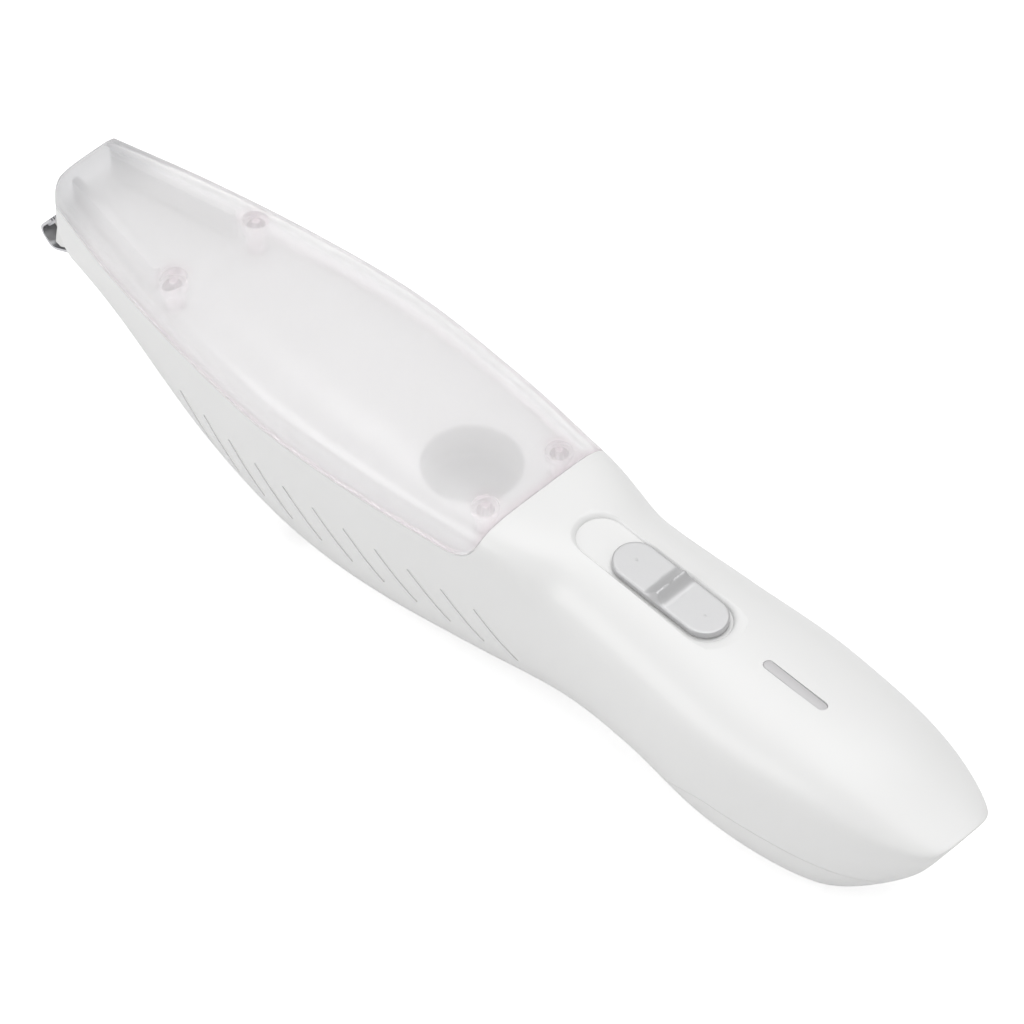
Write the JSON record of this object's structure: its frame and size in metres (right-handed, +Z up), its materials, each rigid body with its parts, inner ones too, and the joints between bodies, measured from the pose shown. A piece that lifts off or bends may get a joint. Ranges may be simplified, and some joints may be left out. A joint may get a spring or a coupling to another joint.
{
  "type": "pet hair trimmer",
  "caption": "Cordless handheld pet hair trimmer: small toothed steel blade, frosted suction chamber with nozzle and intake hole, slide switch, light bar and charging port.",
  "frame": {"origin": "below the middle of the whole tool, on the surface it rests on", "axes": "+X towards the blade along the tool, +Y across to its left seen from the tail, +Z up through the cover"},
  "size_m": [0.1906, 0.0336, 0.0365],
  "materials": {
    "shell_white": "smooth white satin-gloss shell",
    "cover_frosted": "frosted translucent cover",
    "filter_white": "fine white mesh",
    "inner_white": "plain moulded plastic",
    "fan_grey": "moulded fan wheel",
    "steel_bright": "ground steel",
    "motor_can": "drawn steel can",
    "sleeve_rubber": "soft black rubber",
    "dark_plastic": "black acetal",
    "carrier_white": "white acetal",
    "blade_steel": "ground blade steel",
    "nose_white": "white moulded plastic",
    "screw_steel": "plated screw",
    "cap_silver": "satin silver",
    "switch_metal": "pressed switch frame",
    "light_pipe": "translucent grey bar",
    "led_body": "small lamp body",
    "board_green": "coated circuit board",
    "battery_wrap": "shrink-wrapped cell",
    "tab_nickel": "nickel strip",
    "port_metal": "pressed port shell",
    "lead_cover": "red and black lead covering"
  },
  "bodies": {
    "housing": {"upper_housing": "shell_white", "lower_housing": "shell_white", "guide_ribs": "shell_white", "intake_filter": "filter_white", "fan_housing": "inner_white", "fan_motor": "motor_can", "blade_motor": "motor_can", "motor_sleeve": "sleeve_rubber", "motor_cradle": "inner_white", "fixed_blade": "blade_steel", "blade_holder": "nose_white", "blade_spring": "steel_bright", "blade_screws": "screw_steel", "slide_switch": "switch_metal", "light_bar": "light_pipe", "status_led": "led_body", "circuit_board": "board_green", "battery_cell": "battery_wrap", "battery_cradle": "inner_white", "battery_tabs": "tab_nickel", "port_board": "board_green", "charging_port": "port_metal", "housing_screws": "screw_steel", "board_screws": "screw_steel", "motor_leads": "lead_cover", "fan_leads": "lead_cover", "port_leads": "lead_cover"},
    "cover": {"chamber_cover": "cover_frosted"},
    "cutter": {"cutter_carrier": "carrier_white", "moving_blade": "blade_steel"},
    "drive": {"motor_shaft": "steel_bright", "drive_eccentric": "dark_plastic"},
    "fan": {"fan_impeller": "fan_grey", "fan_shaft": "steel_bright"},
    "switch": {"switch_cap": "cap_silver", "switch_carrier": "dark_plastic"}
  },
  "joints": [
    {"name": "cover_lift", "type": "slide", "parent": "housing", "child": "cover", "axis": [0, 0, 1], "range_m": [0, 0.02]},
    {"name": "switch_slide", "type": "slide", "parent": "housing", "child": "switch", "axis": [0.9979, 0, 0.0645], "range_m": [0, 0.006]},
    {"name": "cutter_slide", "type": "slide", "parent": "housing", "child": "cutter", "axis": [0, 1, 0], "range_m": [-0.0006, 0.0006]},
    {"name": "drive_spin", "type": "hinge", "parent": "housing", "child": "drive", "pos_m": [0.06, 0, 0.0196], "axis": [1, 0, 0], "continuous": true},
    {"name": "fan_spin", "type": "hinge", "parent": "housing", "child": "fan", "pos_m": [0.0045, 0, 0.015], "axis": [0, 0, 1], "continuous": true}
  ]
}
